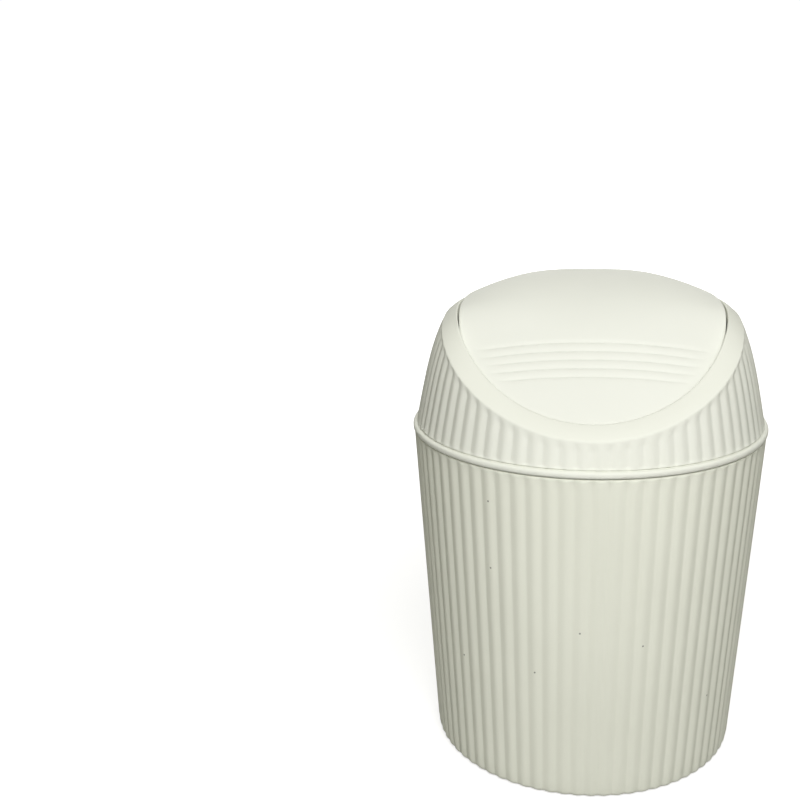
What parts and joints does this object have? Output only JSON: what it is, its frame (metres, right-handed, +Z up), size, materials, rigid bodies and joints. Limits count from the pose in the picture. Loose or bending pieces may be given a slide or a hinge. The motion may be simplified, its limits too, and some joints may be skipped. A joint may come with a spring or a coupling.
{
  "type": "countertop trash can with swing lid",
  "caption": "Small round countertop bin: tapered reeded bucket, lift-off domed cover with a slanted mouth, and a curved grooved push lid that swings inwards.",
  "frame": {"origin": "centre of the foot ring, on the table", "axes": "+Z up along the bin's axis, -Y to the front where the mouth is low, +X to the right seen from above with the front towards the viewer"},
  "size_m": [0.1424, 0.1424, 0.1934],
  "materials": {
    "bucket_plastic": "satin",
    "cover_plastic": "satin",
    "lid_plastic": "satin"
  },
  "bodies": {
    "bucket": {"bucket": "bucket_plastic"},
    "cover": {"dome_cover": "cover_plastic"},
    "lid": {"swing_lid": "lid_plastic"}
  },
  "joints": [
    {"name": "cover_lift", "type": "slide", "parent": "bucket", "child": "cover", "axis": [0, 0, 1], "range_m": [0, 0.045]},
    {"name": "lid_swing", "type": "hinge", "parent": "cover", "child": "lid", "pos_m": [0, 0, 0.17009], "axis": [1, 0, 0], "range_deg": [0, 40]}
  ]
}
